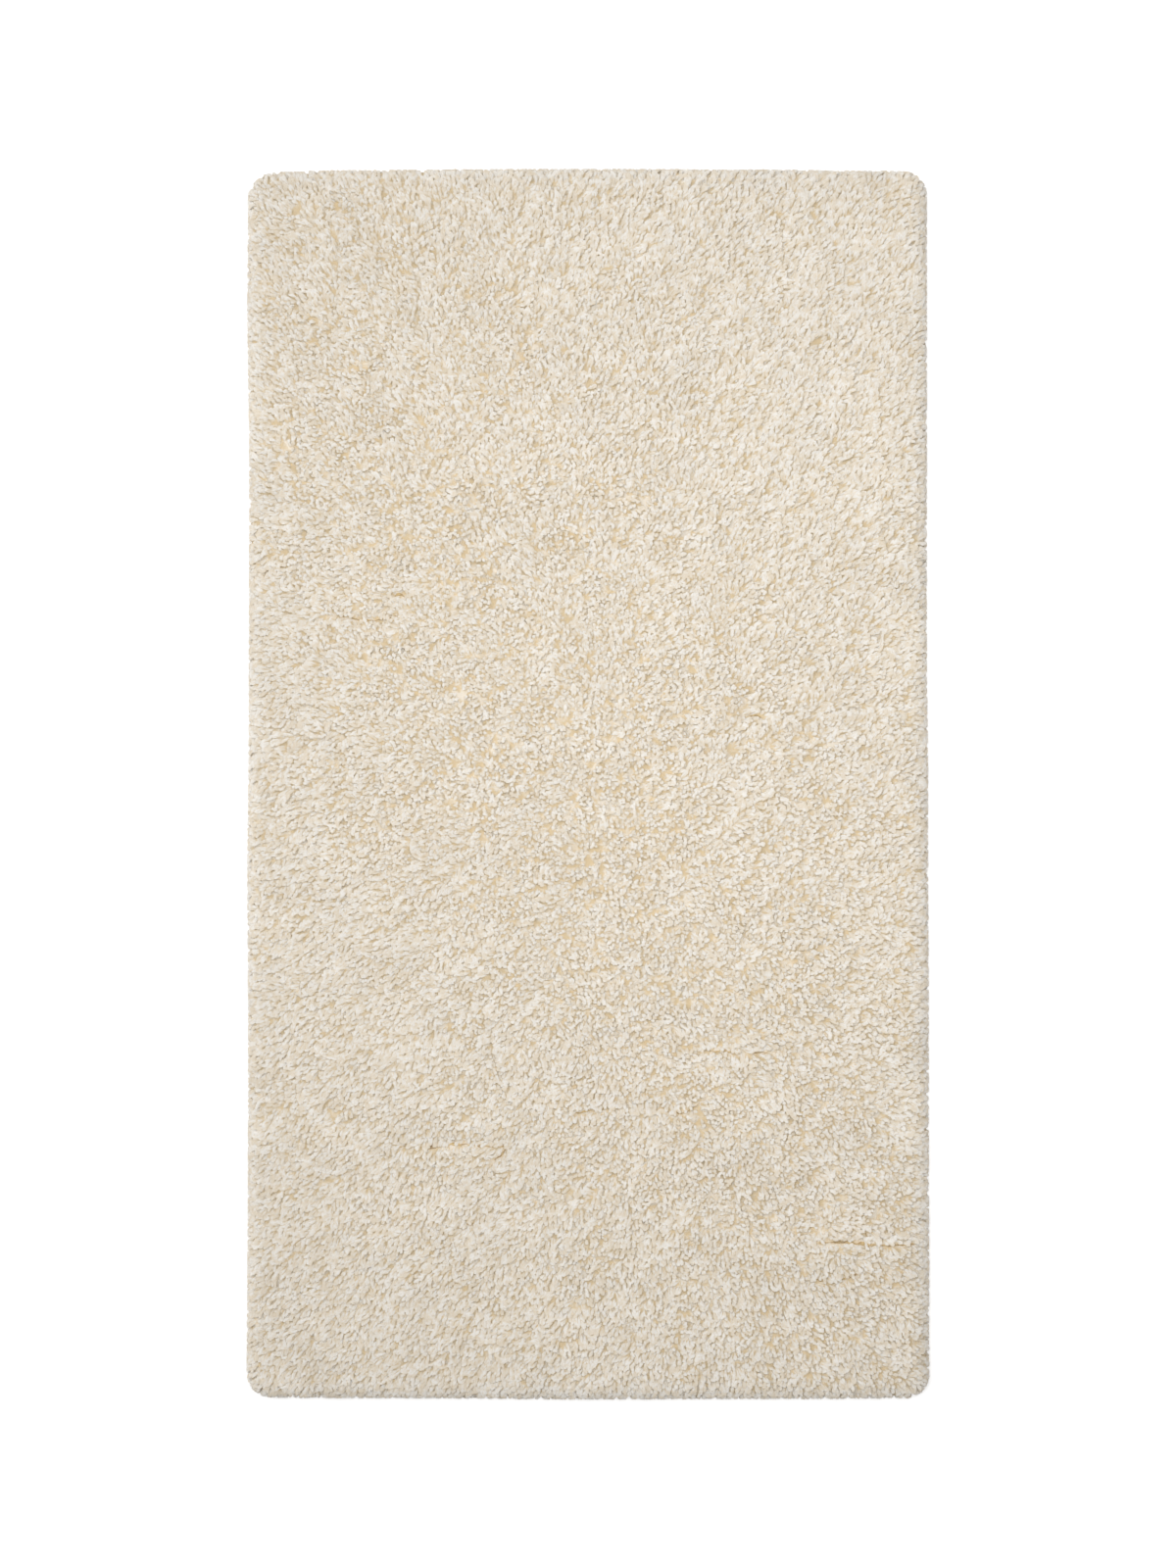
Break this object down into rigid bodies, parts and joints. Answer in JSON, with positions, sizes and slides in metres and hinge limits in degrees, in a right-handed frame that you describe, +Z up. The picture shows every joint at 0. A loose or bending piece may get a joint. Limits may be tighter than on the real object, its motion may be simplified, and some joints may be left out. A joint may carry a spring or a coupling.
{
  "type": "cream high-pile wool rug",
  "caption": "Rectangular deep-pile rug with rounded corners, a rolled pile edge and a flat underside, lying flat.",
  "frame": {"origin": "middle of the underside, on the floor", "axes": "+X across the rug, +Y along its length, +Z up out of the pile"},
  "size_m": [1, 1.8, 0.0292],
  "materials": {
    "wool_pile": "matt cream wool, deep cut pile of soft plied yarn"
  },
  "bodies": {
    "root": {"pile_rug": "wool_pile"}
  },
  "joints": []
}
